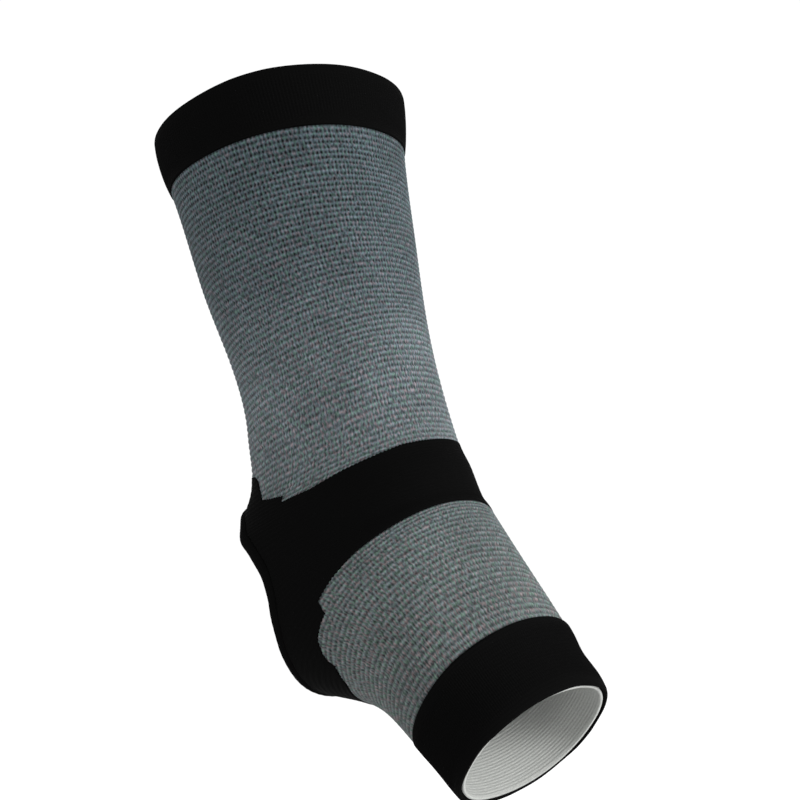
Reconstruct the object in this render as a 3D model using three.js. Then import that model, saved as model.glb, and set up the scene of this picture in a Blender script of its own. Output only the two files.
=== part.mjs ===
// Knitted ankle brace with an open heel, in the form it takes when worn.
// Millimetres and degrees. +Z points up the leg and +X to the toes.
// The origin is the middle of the ankle joint.
// Every piece lies on one smooth sleeve surface. A place on that surface is a station, counted
// in millimetres down the sleeve's middle line from the top rim, and an angle around it, which
// is 0 at the front, 90 at the right side and 180 at the back.
import * as THREE from 'three';
import { mergeVertices } from 'three/addons/utils/BufferGeometryUtils.js';

// Lengths along the front of the sleeve
const LEG_LENGTH = 144;
const TOP_CUFF_HEIGHT = 23.5;
const BAND_HEIGHT = 23.5;
const FOOT_LENGTH = 74.5;
const TOE_CUFF_HEIGHT = 26.5;

// Sizes of the sleeve across, where the leg and foot fill it
const CALF_DEPTH = 105;
const CALF_WIDTH = 94;
const ANKLE_DEPTH = 83.5;
const ANKLE_WIDTH = 60.5;
const HEEL_DEPTH = 131.5;
const HEEL_WIDTH = 78.5;
const FOOT_DEPTH = 61.5;
const FOOT_WIDTH = 80;

// Where the band crosses the instep, and how steeply the instep and the foot run down
const INSTEP_FORWARD = 51.4;
const INSTEP_RISE = 18.2;
const INSTEP_SLOPE = 76.7;
const FOOT_SLOPE = 63;

// Cloth
const KNIT_WALL = 1.6;
const BAND_PROUD = 0.2;
const CUFF_WALL = 1.9;
const CUFF_PROUD = 0.4;
const CUFF_RIM = 1;
const FACING_WALL = 1;
const FACING_INSET = 0.4;
const HEM_WIDTH = 4.5;
const HEM_THICKNESS = 3;
const GAP = 0.3;

// How square the sections are: 2 is an ellipse
const SECTION_POWER = 2.15;

// Facets
const COLUMNS = 48;
const LEG_ROWS = 9;
const FOOT_ROWS = 4;
const CUFF_ROWS = 2;
const RIM_FACETS = 4;
const BAND_ROWS = 8;
const FRONT_ROWS = 8;
const FRONT_COLUMNS = 8;
const HEM_STEPS = 54;
const HEM_SIDES = 8;

const radians = THREE.MathUtils.degToRad;
const lerp = THREE.MathUtils.lerp;

// Sections of the sleeve, from the top rim to the toe rim. Each has the place of its front point,
// the tilt of the line from there to its back point, and its depth and width.
// Rise is a distance above the band's upper edge, and along is a distance down the band or foot.
// The other lengths are shares of the sizes above.
const LEG_SECTIONS = [
  { rise: LEG_LENGTH, forward: -0.075, tilt: 1.8, depth: 1, width: 1 },
  { rise: LEG_LENGTH - TOP_CUFF_HEIGHT, forward: -0.082, tilt: -0.3, depth: 0.95, width: 0.888 },
  { rise: 0.593 * LEG_LENGTH, forward: -0.08, tilt: 2.4, depth: 0.877, width: 0.789 },
];
const ANKLE_SECTIONS = [
  { rise: 0.21 * LEG_LENGTH, forward: -0.063, tilt: 9.5, depth: 1, width: 1 },
  { rise: 0, forward: 0, tilt: 10, depth: 1.165, width: 1.04 },
];
const HEEL_SECTIONS = [
  { along: 0.43, out: 0.056, tilt: 13, depth: 0.997, width: 0.903 },
  { along: 0.77, out: 0.02, tilt: 17, depth: 1, width: 1 },
  { along: 1, out: 0, tilt: 32.4, depth: 0.77, width: 1.066 },
];
const FOOT_SECTIONS = [
  { along: 0.43 * FOOT_LENGTH, out: -0.031, tilt: 43.2, depth: 1, width: 1 },
  { along: FOOT_LENGTH - TOE_CUFF_HEIGHT, out: -0.02, tilt: 44.7, depth: 0.94, width: 0.943 },
  { along: FOOT_LENGTH, out: -0.01, tilt: 40.9, depth: 0.855, width: 0.86 },
];

// Edges of the band, the same on both sides. Along is a share of the way from the section that
// carries the band's upper edge at the front to the one that carries its lower edge there.
const BAND_TOP = [
  { around: 0, along: 0 },
  { around: 30, along: 0 },
  { around: 60, along: 0.06 },
  { around: 75, along: 0.105 },
  { around: 90, along: 0.09 },
  { around: 97.5, along: 0.025 },
  { around: 112.5, along: -0.04 },
  { around: 120, along: -0.19 },
  { around: 127.5, along: -0.235 },
  { around: 150, along: -0.3 },
  { around: 180, along: -0.32 },
];
const BAND_BOTTOM = [
  { around: 0, along: 1 },
  { around: 60, along: 1 },
  { around: 75, along: 1.035 },
  { around: 86, along: 1.07 },
  { around: 90, along: 1.17 },
  { around: 105, along: 1.25 },
  { around: 116, along: 1.39 },
  { around: 127.5, along: 1.475 },
  { around: 150, along: 1.515 },
  { around: 180, along: 1.53 },
];
const OPENING_EDGE = [
  { around: 180, along: -0.12 },
  { around: 152, along: -0.07 },
  { around: 132, along: 0.03 },
  { around: 116, along: 0.15 },
  { around: 104, along: 0.29 },
  { around: 96, along: 0.435 },
  { around: 92, along: 0.6 },
  { around: 96, along: 0.755 },
  { around: 105, along: 0.88 },
  { around: 117, along: 1 },
  { around: 131, along: 1.1 },
  { around: 150, along: 1.16 },
  { around: 180, along: 1.18 },
];
// Which share of half the opening's edge faces which share of the band's border behind its front
const BAND_SPOKES = [
  { border: 0, opening: 0 },
  { border: 0.3, opening: 0.36 },
  { border: 0.7, opening: 0.66 },
  { border: 1, opening: 1 },
];

// A point of the side view moved along a slope that runs down from level, and out square to it
function movedDown(from, slope, along, out) {
  const angle = radians(slope);
  return new THREE.Vector2(
    from.x + along * Math.cos(angle) + out * Math.sin(angle),
    from.y - along * Math.sin(angle) + out * Math.cos(angle),
  );
}

const instep = new THREE.Vector2(INSTEP_FORWARD, INSTEP_RISE);
const bandFoot = movedDown(instep, INSTEP_SLOPE, BAND_HEIGHT, 0);

function upperSection(row, depth, width) {
  const front = new THREE.Vector2(instep.x + row.forward * depth, instep.y + row.rise);
  return { front, tilt: row.tilt, depth: row.depth * depth, width: row.width * width };
}

function heelSection(row) {
  const front = movedDown(instep, INSTEP_SLOPE, row.along * BAND_HEIGHT, row.out * BAND_HEIGHT);
  return { front, tilt: row.tilt, depth: row.depth * HEEL_DEPTH, width: row.width * HEEL_WIDTH };
}

function footSection(row) {
  const front = movedDown(bandFoot, FOOT_SLOPE, row.along, row.out * FOOT_DEPTH);
  return { front, tilt: row.tilt, depth: row.depth * FOOT_DEPTH, width: row.width * FOOT_WIDTH };
}

const sections = [
  ...LEG_SECTIONS.map((row) => upperSection(row, CALF_DEPTH, CALF_WIDTH)),
  ...ANKLE_SECTIONS.map((row) => upperSection(row, ANKLE_DEPTH, ANKLE_WIDTH)),
  ...HEEL_SECTIONS.map(heelSection),
  ...FOOT_SECTIONS.map(footSection),
];
for (const section of sections) {
  section.back = movedDown(section.front, 180 - section.tilt, section.depth, 0);
  section.middle = section.front.clone().lerp(section.back, 0.5);
}
sections.forEach((section, i) => {
  const above = sections[i - 1];
  section.station = above ? above.station + section.middle.distanceTo(above.middle) : 0;
});

const cuffHem = sections[1].station;
const bandStart = sections[LEG_SECTIONS.length + 1].station;
const bandEnd = sections[sections.length - 1 - FOOT_SECTIONS.length].station;
const toeCuffStart = sections[sections.length - 2].station;
const toeRim = sections[sections.length - 1].station;

// One value of the sections at any station, on a smooth cubic through all of them
function smoothValue(read, station) {
  const last = sections.length - 1;
  const value = (i) => read(sections[i]);
  const step = (i) => sections[i + 1].station - sections[i].station;
  const rate = (i) => (value(i + 1) - value(i)) / step(i);
  const innerSlope = (i) => (rate(i - 1) * step(i) + rate(i) * step(i - 1)) / (step(i) + step(i - 1));
  const slope = (i) => {
    if (i > 0 && i < last) {
      return innerSlope(i);
    }
    const [end, inner] = i === 0 ? [0, 1] : [last - 1, last - 1];
    return (3 * rate(end) - innerSlope(inner)) / 2;
  };
  let i = 0;
  while (i < last - 1 && station > sections[i + 1].station) i += 1;
  const u = THREE.MathUtils.clamp((station - sections[i].station) / step(i), 0, 1);
  const toStart = 2 * u ** 3 - 3 * u ** 2 + 1;
  const toEnd = 1 - toStart;
  const turnStart = step(i) * (u ** 3 - 2 * u ** 2 + u);
  const turnEnd = step(i) * (u ** 3 - u ** 2);
  return toStart * value(i) + toEnd * value(i + 1) + turnStart * slope(i) + turnEnd * slope(i + 1);
}

function sleevePoint(station, around) {
  const frontX = smoothValue((section) => section.front.x, station);
  const frontZ = smoothValue((section) => section.front.y, station);
  const backX = smoothValue((section) => section.back.x, station);
  const backZ = smoothValue((section) => section.back.y, station);
  const halfWidth = smoothValue((section) => section.width / 2, station);
  const cos = Math.cos(radians(around));
  const sin = Math.sin(radians(around));
  const reach = (Math.abs(cos) ** SECTION_POWER + Math.abs(sin) ** SECTION_POWER) ** (1 / SECTION_POWER);
  const forward = 0.5 + (0.5 * cos) / reach;
  const x = lerp(backX, frontX, forward);
  const z = lerp(backZ, frontZ, forward);
  return new THREE.Vector3(x, (-halfWidth * sin) / reach, z);
}

// The way the surface runs at a place: per station, per degree around, and square out of it
function sleeveFrame(station, around) {
  const probe = 0.25;
  const low = Math.max(station - probe, 0);
  const high = Math.min(station + probe, toeRim);
  const down = sleevePoint(high, around).sub(sleevePoint(low, around)).divideScalar(high - low);
  const across = sleevePoint(station, around + probe)
    .sub(sleevePoint(station, around - probe))
    .divideScalar(2 * probe);
  const out = new THREE.Vector3().crossVectors(across, down).normalize();
  return { down, across, out };
}

function wallPoint(station, around, offset) {
  return sleevePoint(station, around).addScaledVector(sleeveFrame(station, around).out, offset);
}

// The station a given distance further down the surface
function shifted(station, around, distance) {
  return station + distance / sleeveFrame(station, around).down.length();
}

// An edge's station at any angle, straight between the rows of its table
function edgeStation(table, around) {
  const folded = Math.abs(((around + 540) % 360) - 180);
  let i = 0;
  while (i < table.length - 2 && folded > table[i + 1].around) i += 1;
  const share = (folded - table[i].around) / (table[i + 1].around - table[i].around);
  return lerp(bandStart, bandEnd, lerp(table[i].along, table[i + 1].along, share));
}

const bandTop = (around) => edgeStation(BAND_TOP, around);
const bandBottom = (around) => edgeStation(BAND_BOTTOM, around);

// The edge that runs beside another, a given distance further down and measured square to it
function besideEdge(edge, distance) {
  const probe = 2;
  return (around) => {
    const { down, across } = sleeveFrame(edge(around), around);
    const rate = (edge(around + probe) - edge(around - probe)) / (2 * probe);
    const slope = (rate * down.length()) / across.length();
    return edge(around) + (distance * Math.hypot(1, slope)) / down.length();
  };
}

const bandTopGap = besideEdge(bandTop, GAP / 2);
const bandBottomGap = besideEdge(bandBottom, -GAP / 2);

// A wall's section: down the outside, round the lower rim, up the inside and over the upper rim
function wallProfile(outside, inside, rows, rimDepth, rimFacets) {
  const middle = (outside + inside) / 2;
  const half = (outside - inside) / 2;
  const profile = [];
  const addSide = (offset, shares) => {
    for (const share of shares) {
      const inset = lerp(rimDepth, -rimDepth, share);
      profile.push({ share, inset, offset });
    }
  };
  const addRim = (share, sign) => {
    for (let i = 1; i < rimFacets; i += 1) {
      const turn = (Math.PI * i) / rimFacets;
      const inset = sign * rimDepth * (1 - Math.sin(turn));
      profile.push({ share, inset, offset: middle + sign * -half * Math.cos(turn) });
    }
  };
  const downward = Array.from({ length: rows + 1 }, (_, i) => i / rows);
  addSide(outside, downward);
  addRim(1, -1);
  addSide(inside, [...downward].reverse());
  addRim(0, 1);
  return profile;
}

// A closed skin over a grid of points that joins up both ways
function ringGeometry(loops) {
  const sides = loops[0].length;
  const positions = loops.flat().flatMap((point) => point.toArray());
  const index = [];
  loops.forEach((_, i) => {
    const next = (i + 1) % loops.length;
    for (let j = 0; j < sides; j += 1) {
      const k = (j + 1) % sides;
      const [a, b, c, d] = [i * sides + j, next * sides + j, next * sides + k, i * sides + k];
      index.push(a, b, d, b, c, d);
    }
  });
  const geometry = new THREE.BufferGeometry();
  geometry.setAttribute('position', new THREE.Float32BufferAttribute(positions, 3));
  geometry.setIndex(index);
  return geometry;
}

// A tube of cloth between two edges, which may be stepped
function tubeGeometry(topEdge, bottomEdge, profile) {
  const loops = [];
  for (let i = 0; i < COLUMNS; i += 1) {
    const around = (360 * i) / COLUMNS;
    const loop = profile.map(({ share, inset, offset }) => {
      const station = lerp(topEdge(around), bottomEdge(around), share);
      return wallPoint(shifted(station, around, inset), around, offset);
    });
    loops.push(loop);
  }
  return ringGeometry(loops);
}

// The edge of the heel opening as a closed curve, on a map whose scales are both near millimetres
const MAP_SCALE = 0.65;
const openingHalf = OPENING_EDGE.map(({ around, along }) => ({
  around,
  station: lerp(bandStart, bandEnd, along),
}));
const openingOther = openingHalf
  .slice(1, -1)
  .reverse()
  .map(({ around, station }) => ({ around: 360 - around, station }));
const openingCurve = new THREE.CatmullRomCurve3(
  [...openingHalf, ...openingOther].map(
    ({ around, station }) => new THREE.Vector3(around * MAP_SCALE, station, 0),
  ),
  true,
);

// A place beside the opening, a given distance away from its edge on the surface
function besideOpening(share, distance) {
  const probe = 0.002;
  const here = openingCurve.getPointAt(share);
  const before = openingCurve.getPointAt((share - probe + 1) % 1);
  const after = openingCurve.getPointAt((share + probe) % 1);
  const around = here.x / MAP_SCALE;
  const frame = sleeveFrame(here.y, around);
  const along = new THREE.Vector3()
    .addScaledVector(frame.across, (after.x - before.x) / MAP_SCALE)
    .addScaledVector(frame.down, after.y - before.y);
  const away = new THREE.Vector3().crossVectors(frame.out, along).normalize();
  // Split that direction into its parts down and around, which aren't quite square to each other
  const dd = frame.down.dot(frame.down);
  const da = frame.down.dot(frame.across);
  const aa = frame.across.dot(frame.across);
  const size = dd * aa - da * da;
  const downPart = (away.dot(frame.down) * aa - away.dot(frame.across) * da) / size;
  const aroundPart = (away.dot(frame.across) * dd - away.dot(frame.down) * da) / size;
  return { station: here.y + distance * downPart, around: around + distance * aroundPart };
}

// The rolled hem, an oval cord of cloth all round the opening
function hemGeometry() {
  const middle = BAND_PROUD - KNIT_WALL / 2;
  const loops = [];
  for (let i = 0; i < HEM_STEPS; i += 1) {
    const loop = [];
    for (let j = 0; j < HEM_SIDES; j += 1) {
      const turn = (2 * Math.PI * (j + 0.5)) / HEM_SIDES;
      const distance = (HEM_WIDTH / 2) * (1 - Math.cos(turn) / Math.cos(Math.PI / HEM_SIDES));
      const offset = middle + ((HEM_THICKNESS / 2) * Math.sin(turn)) / Math.cos(Math.PI / HEM_SIDES);
      const place = besideOpening(i / HEM_STEPS, distance);
      loop.push(wallPoint(place.station, place.around, offset));
    }
    loops.push(loop);
  }
  return ringGeometry(loops);
}

// The band's places at one angle, from its upper to its lower edge
function bandColumn(around) {
  return Array.from({ length: FRONT_ROWS + 1 }, (_, i) => ({
    station: lerp(bandTopGap(around), bandBottomGap(around), i / FRONT_ROWS),
    around,
  }));
}

// The share of the half opening edge that faces a share of the border
function facingShare(borderShare) {
  let i = 0;
  while (i < BAND_SPOKES.length - 2 && borderShare > BAND_SPOKES[i + 1].border) i += 1;
  const [from, to] = [BAND_SPOKES[i], BAND_SPOKES[i + 1]];
  return lerp(from.opening, to.opening, (borderShare - from.border) / (to.border - from.border));
}

// The rest of one half of the band, as rows of places that run out from the hem to the border:
// the upper edge from the back, then the front patch's last column, then the lower edge
function bandSpokes(backColumns) {
  const last = backColumns[0];
  const border = [
    ...backColumns.map((column) => column[0]).reverse(),
    ...last.slice(1, -1),
    ...backColumns.map((column) => column[FRONT_ROWS]),
  ];
  return border.map((end, k) => {
    const start = besideOpening(facingShare(k / (border.length - 1)) / 2, HEM_WIDTH + GAP);
    const startAround = end.around === 180 ? 180 : start.around;
    return Array.from({ length: BAND_ROWS + 1 }, (_, i) => ({
      station: lerp(start.station, end.station, i / BAND_ROWS),
      around: lerp(startAround, end.around, i / BAND_ROWS),
    }));
  });
}

// The band is one sheet, made of a front patch and the spokes round the opening on each side
function bandGeometry() {
  const columns = Array.from({ length: COLUMNS / 2 + 1 }, (_, i) => bandColumn((360 * i) / COLUMNS));
  const patches = [columns.slice(0, FRONT_COLUMNS + 1), bandSpokes(columns.slice(FRONT_COLUMNS))];
  const outer = [];
  const inner = [];
  const index = [];
  const addPatch = (rows, side) => {
    const mirror = new THREE.Vector3(1, side, 1);
    const first = outer.length / 3;
    const wide = rows[0].length;
    for (const { station, around } of rows.flat()) {
      outer.push(...wallPoint(station, around, BAND_PROUD).multiply(mirror).toArray());
      inner.push(...wallPoint(station, around, BAND_PROUD - KNIT_WALL).multiply(mirror).toArray());
    }
    for (let k = 0; k < rows.length - 1; k += 1) {
      for (let i = 0; i < wide - 1; i += 1) {
        const a = first + k * wide + i;
        const [b, c, d] = side > 0 ? [a + 1, a + wide + 1, a + wide] : [a + wide, a + wide + 1, a + 1];
        index.push(a, c, b, a, d, c);
      }
    }
  };
  for (const side of [1, -1]) {
    patches.forEach((rows) => addPatch(rows, side));
  }
  return thickened(outer, inner, index);
}

// Closes an outer and an inner skin, with the same faces, by a rim along their open edges
function thickened(outer, inner, index) {
  const skins = new THREE.BufferGeometry();
  skins.setAttribute('position', new THREE.Float32BufferAttribute(outer, 3));
  skins.setAttribute('inner', new THREE.Float32BufferAttribute(inner, 3));
  skins.setIndex(index);
  const welded = mergeVertices(skins, 0.001);
  const faces = Array.from(welded.index.array);
  const count = welded.attributes.position.count;
  const edges = new Set();
  for (let i = 0; i < faces.length; i += 3) {
    const corners = faces.slice(i, i + 3);
    corners.forEach((corner, k) => edges.add(`${corner},${corners[(k + 1) % 3]}`));
  }
  const closed = [];
  for (let i = 0; i < faces.length; i += 3) {
    const [a, b, c] = faces.slice(i, i + 3);
    closed.push(a, b, c, a + count, c + count, b + count);
  }
  for (const edge of edges) {
    const [a, b] = edge.split(',').map(Number);
    if (!edges.has(`${b},${a}`)) {
      closed.push(b, a, a + count, b, a + count, b + count);
    }
  }
  const geometry = new THREE.BufferGeometry();
  const positions = [...welded.attributes.position.array, ...welded.attributes.inner.array];
  geometry.setAttribute('position', new THREE.Float32BufferAttribute(positions, 3));
  geometry.setIndex(closed);
  return geometry;
}

const cuffInside = CUFF_PROUD - CUFF_WALL;
const facingOutside = cuffInside - GAP;
const knitProfile = (rows) => wallProfile(0, -KNIT_WALL, rows, GAP / 2, 2);
const cuffProfile = wallProfile(CUFF_PROUD, cuffInside, CUFF_ROWS, CUFF_RIM, RIM_FACETS);
const facingProfile = wallProfile(facingOutside, facingOutside - FACING_WALL, CUFF_ROWS, GAP, 2);

const topRimEdge = () => 0;
const cuffHemEdge = () => cuffHem;
const toeCuffEdge = () => toeCuffStart;
const toeRimEdge = () => toeRim;

const cloth = (color) => new THREE.MeshStandardMaterial({ color, roughness: 0.95, metalness: 0 });
const greyHeather = cloth(0x6b7276);
const blackKnit = cloth(0x0c0c0d);
const paleGrey = cloth(0xb9bbb7);

const brace = new THREE.Group();

function addPiece(name, material, geometry) {
  const mesh = new THREE.Mesh(geometry, material);
  mesh.name = name;
  brace.add(mesh);
}

addPiece(
  'top_cuff',
  blackKnit,
  tubeGeometry(topRimEdge, besideEdge(cuffHemEdge, -GAP / 2), cuffProfile),
);
addPiece(
  'top_cuff_facing',
  paleGrey,
  tubeGeometry(besideEdge(topRimEdge, FACING_INSET), besideEdge(cuffHemEdge, -GAP), facingProfile),
);
addPiece(
  'leg_sleeve',
  greyHeather,
  tubeGeometry(besideEdge(cuffHemEdge, GAP / 2), besideEdge(bandTop, -GAP / 2), knitProfile(LEG_ROWS)),
);
addPiece('heel_band', blackKnit, bandGeometry());
addPiece('heel_opening_hem', blackKnit, hemGeometry());
addPiece(
  'foot_sleeve',
  greyHeather,
  tubeGeometry(besideEdge(bandBottom, GAP / 2), besideEdge(toeCuffEdge, -GAP / 2), knitProfile(FOOT_ROWS)),
);
addPiece(
  'toe_cuff',
  blackKnit,
  tubeGeometry(besideEdge(toeCuffEdge, GAP / 2), toeRimEdge, cuffProfile),
);
addPiece(
  'toe_cuff_facing',
  paleGrey,
  tubeGeometry(besideEdge(toeCuffEdge, GAP), besideEdge(toeRimEdge, -FACING_INSET), facingProfile),
);

export default brace;
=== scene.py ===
import math

import bmesh
import bpy
import numpy as np
from mathutils import Matrix, Vector


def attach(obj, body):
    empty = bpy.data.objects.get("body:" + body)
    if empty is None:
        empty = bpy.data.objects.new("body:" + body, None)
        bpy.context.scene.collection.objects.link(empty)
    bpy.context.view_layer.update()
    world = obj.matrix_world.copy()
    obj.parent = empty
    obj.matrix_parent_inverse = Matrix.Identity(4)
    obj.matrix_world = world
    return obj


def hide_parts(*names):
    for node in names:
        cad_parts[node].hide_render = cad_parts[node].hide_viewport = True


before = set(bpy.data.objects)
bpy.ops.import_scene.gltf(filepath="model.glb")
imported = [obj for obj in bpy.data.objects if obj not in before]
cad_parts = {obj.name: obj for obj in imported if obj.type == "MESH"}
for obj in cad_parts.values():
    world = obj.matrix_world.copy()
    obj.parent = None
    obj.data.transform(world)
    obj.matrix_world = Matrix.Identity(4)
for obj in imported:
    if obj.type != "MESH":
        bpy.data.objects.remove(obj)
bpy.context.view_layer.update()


# Camera and stage
# The camera stands in front of the toe end, off to the right and low, tilted a little to its side.
# The floor lies under the brace, and both floor and sky are the plain near-white of a studio.
VIEW_TARGET = Vector((0.02043, 0.01645, 0.04059))
VIEW_DISTANCE = 0.47677
VIEW_AZIMUTH = 39.70
VIEW_ELEVATION = -10.79
VIEW_ROLL = -8.40
LENS = 56.03
FLOOR_HEIGHT = -0.150
FLOOR_RADIUS = 6.0
STUDIO_WHITE = "fefefe"
SKY_STRENGTH = 1.04


def linear(hex_colour):
    """The linear colour, with alpha, of an sRGB hex value."""
    channels = [int(hex_colour[i:i + 2], 16) / 255 for i in (0, 2, 4)]
    return tuple(c / 12.92 if c <= 0.04045 else ((c + 0.055) / 1.055) ** 2.4 for c in channels) + (1.0,)


def look_from(azimuth, elevation, roll, distance, target):
    """The matrix of something that looks at the target: azimuth 0 looks along +Y."""
    turn, lift, lean = (math.radians(a) for a in (azimuth, elevation, roll))
    back = Vector((math.sin(turn) * math.cos(lift), -math.cos(turn) * math.cos(lift), math.sin(lift)))
    level = Vector((math.cos(turn), math.sin(turn), 0))
    upright = back.cross(level)
    right = math.cos(lean) * level + math.sin(lean) * upright
    up = math.cos(lean) * upright - math.sin(lean) * level
    matrix = Matrix((right, up, back)).transposed().to_4x4()
    matrix.translation = target + distance * back
    return matrix


camera_data = bpy.data.cameras.new("camera")
camera_data.lens = LENS
camera_data.clip_start = 0.01
camera = bpy.data.objects.new("camera", camera_data)
camera.matrix_world = look_from(VIEW_AZIMUTH, VIEW_ELEVATION, VIEW_ROLL, VIEW_DISTANCE, VIEW_TARGET)
bpy.context.scene.collection.objects.link(camera)
bpy.context.scene.camera = camera
bpy.context.scene.view_settings.view_transform = "Standard"


def add_node(tree, kind, settings=(), links=()):
    """A node with its attributes and input values set, and its inputs linked from other sockets."""
    node = tree.nodes.new(kind)
    for key, value in dict(settings).items():
        if isinstance(key, str) and hasattr(node, key):
            setattr(node, key, value)
        else:
            node.inputs[key].default_value = value
    for key, socket in dict(links).items():
        tree.links.new(socket, node.inputs[key])
    return node


def new_material(name):
    """An empty node material, with its tree and its output node."""
    material = bpy.data.materials.new(name)
    material.use_nodes = True
    material.node_tree.nodes.clear()
    return material, material.node_tree, material.node_tree.nodes.new("ShaderNodeOutputMaterial")


def add_object(name, bm, material):
    """An object at the origin made from a bmesh, with smooth faces."""
    mesh = bpy.data.meshes.new(name)
    for face in bm.faces:
        face.smooth = True
    bm.to_mesh(mesh)
    bm.free()
    mesh.materials.append(material)
    obj = bpy.data.objects.new(name, mesh)
    bpy.context.scene.collection.objects.link(obj)
    return obj


# Painted studio floor: matt and near-white, so that it joins the sky without a line
studio_paint, tree, output = new_material("studio_paint")
shader = add_node(tree, "ShaderNodeBsdfPrincipled", {"Base Color": linear(STUDIO_WHITE), "Roughness": 0.9})
tree.links.new(shader.outputs[0], output.inputs["Surface"])

bm = bmesh.new()
bmesh.ops.create_circle(bm, cap_ends=True, segments=96, radius=FLOOR_RADIUS)
bmesh.ops.translate(bm, verts=bm.verts, vec=(0, 0, FLOOR_HEIGHT))
floor = add_object("floor", bm, studio_paint)

world = bpy.data.worlds.new("studio_sky")
world.use_nodes = True
world.node_tree.nodes["Background"].inputs["Color"].default_value = linear(STUDIO_WHITE)
world.node_tree.nodes["Background"].inputs["Strength"].default_value = SKY_STRENGTH
bpy.context.scene.world = world

# Soft boxes: where each stands seen from the brace, how large it is, and its power in watts
SOFT_BOXES = [
    {"name": "key_light", "azimuth": 102, "elevation": -2, "distance": 0.6, "size": 0.3, "power": 3},
    {"name": "fill_light", "azimuth": -30, "elevation": 25, "distance": 1.6, "size": 1.2, "power": 1},
    {"name": "rim_light", "azimuth": 190, "elevation": 40, "distance": 1.5, "size": 1.0, "power": 3},
]
for box in SOFT_BOXES:
    light = bpy.data.lights.new(box["name"], "AREA")
    light.size = box["size"]
    light.energy = box["power"]
    lamp = bpy.data.objects.new(box["name"], light)
    lamp.matrix_world = look_from(box["azimuth"], box["elevation"], 0, box["distance"], VIEW_TARGET)
    bpy.context.scene.collection.objects.link(lamp)


# Top cuff
# The welt at the upper end: black knit, doubled over so that its rim is a soft round fold.
# Its fine ribs run lengthways. It stands a little proud of the tube below, and grips harder.

# The form that the whole brace is stretched over, worked out here because this piece needs it first
LEG_LENGTH = 0.144
TOP_CUFF_HEIGHT = 0.0235
BAND_HEIGHT = 0.0235
FOOT_LENGTH = 0.0745
TOE_CUFF_HEIGHT = 0.0265
CALF_DEPTH = 0.105
CALF_WIDTH = 0.094
ANKLE_DEPTH = 0.0835
ANKLE_WIDTH = 0.0605
HEEL_DEPTH = 0.1315
HEEL_WIDTH = 0.0785
FOOT_DEPTH = 0.0615
FOOT_WIDTH = 0.080
INSTEP = Vector((0.0514, 0.0182))
INSTEP_SLOPE = 76.7
FOOT_SLOPE = 63
SECTION_POWER = 2.15

LEG_SECTIONS = [
    {"rise": LEG_LENGTH, "forward": -0.075, "tilt": 1.8, "depth": 1, "width": 1},
    {"rise": LEG_LENGTH - TOP_CUFF_HEIGHT, "forward": -0.082, "tilt": -0.3, "depth": 0.95, "width": 0.888},
    {"rise": 0.593 * LEG_LENGTH, "forward": -0.08, "tilt": 2.4, "depth": 0.877, "width": 0.789},
]
ANKLE_SECTIONS = [
    {"rise": 0.21 * LEG_LENGTH, "forward": -0.063, "tilt": 9.5, "depth": 1, "width": 1},
    {"rise": 0, "forward": 0, "tilt": 10, "depth": 1.165, "width": 1.04},
]
HEEL_SECTIONS = [
    {"along": 0.43, "out": 0.056, "tilt": 13, "depth": 0.997, "width": 0.903},
    {"along": 0.77, "out": 0.02, "tilt": 17, "depth": 1, "width": 1},
    {"along": 1, "out": 0, "tilt": 32.4, "depth": 0.77, "width": 1.066},
]
FOOT_SECTIONS = [
    {"along": 0.43 * FOOT_LENGTH, "out": -0.031, "tilt": 43.2, "depth": 1, "width": 1},
    {"along": FOOT_LENGTH - TOE_CUFF_HEIGHT, "out": -0.02, "tilt": 44.7, "depth": 0.94, "width": 0.943},
    {"along": FOOT_LENGTH, "out": -0.01, "tilt": 40.9, "depth": 0.855, "width": 0.86},
]


def moved_down(start, slope, along, out):
    """A point of the side view moved along a slope that runs down from level, and out square to it."""
    angle = math.radians(slope)
    step = Vector((math.cos(angle), -math.sin(angle)))
    return start + along * step + out * Vector((math.sin(angle), math.cos(angle)))


def section_values(front, tilt, depth, width):
    """Front point, back point and half width of one section, as five numbers."""
    back = moved_down(front, 180 - tilt, depth, 0)
    return [*front, *back, width / 2]


band_foot = moved_down(INSTEP, INSTEP_SLOPE, BAND_HEIGHT, 0)
form = []
calf, ankle = (LEG_SECTIONS, CALF_DEPTH, CALF_WIDTH), (ANKLE_SECTIONS, ANKLE_DEPTH, ANKLE_WIDTH)
for rows, depth, width in (calf, ankle):
    for row in rows:
        front = INSTEP + Vector((row["forward"] * depth, row["rise"]))
        form.append(section_values(front, row["tilt"], row["depth"] * depth, row["width"] * width))
for row in HEEL_SECTIONS:
    front = moved_down(INSTEP, INSTEP_SLOPE, row["along"] * BAND_HEIGHT, row["out"] * BAND_HEIGHT)
    form.append(section_values(front, row["tilt"], row["depth"] * HEEL_DEPTH, row["width"] * HEEL_WIDTH))
for row in FOOT_SECTIONS:
    front = moved_down(band_foot, FOOT_SLOPE, row["along"], row["out"] * FOOT_DEPTH)
    form.append(section_values(front, row["tilt"], row["depth"] * FOOT_DEPTH, row["width"] * FOOT_WIDTH))
form = np.array(form)

# A station is a distance down the middle line of the form, from the top rim
middles = (form[:, 0:2] + form[:, 2:4]) / 2
steps = np.linalg.norm(np.diff(middles, axis=0), axis=1)
stations = np.concatenate([[0], np.cumsum(steps)])
CUFF_HEM = stations[1]
BAND_START = stations[len(LEG_SECTIONS) + 1]
BAND_END = stations[-1 - len(FOOT_SECTIONS)]
TOE_CUFF_START = stations[-2]
TOE_RIM = stations[-1]

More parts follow.
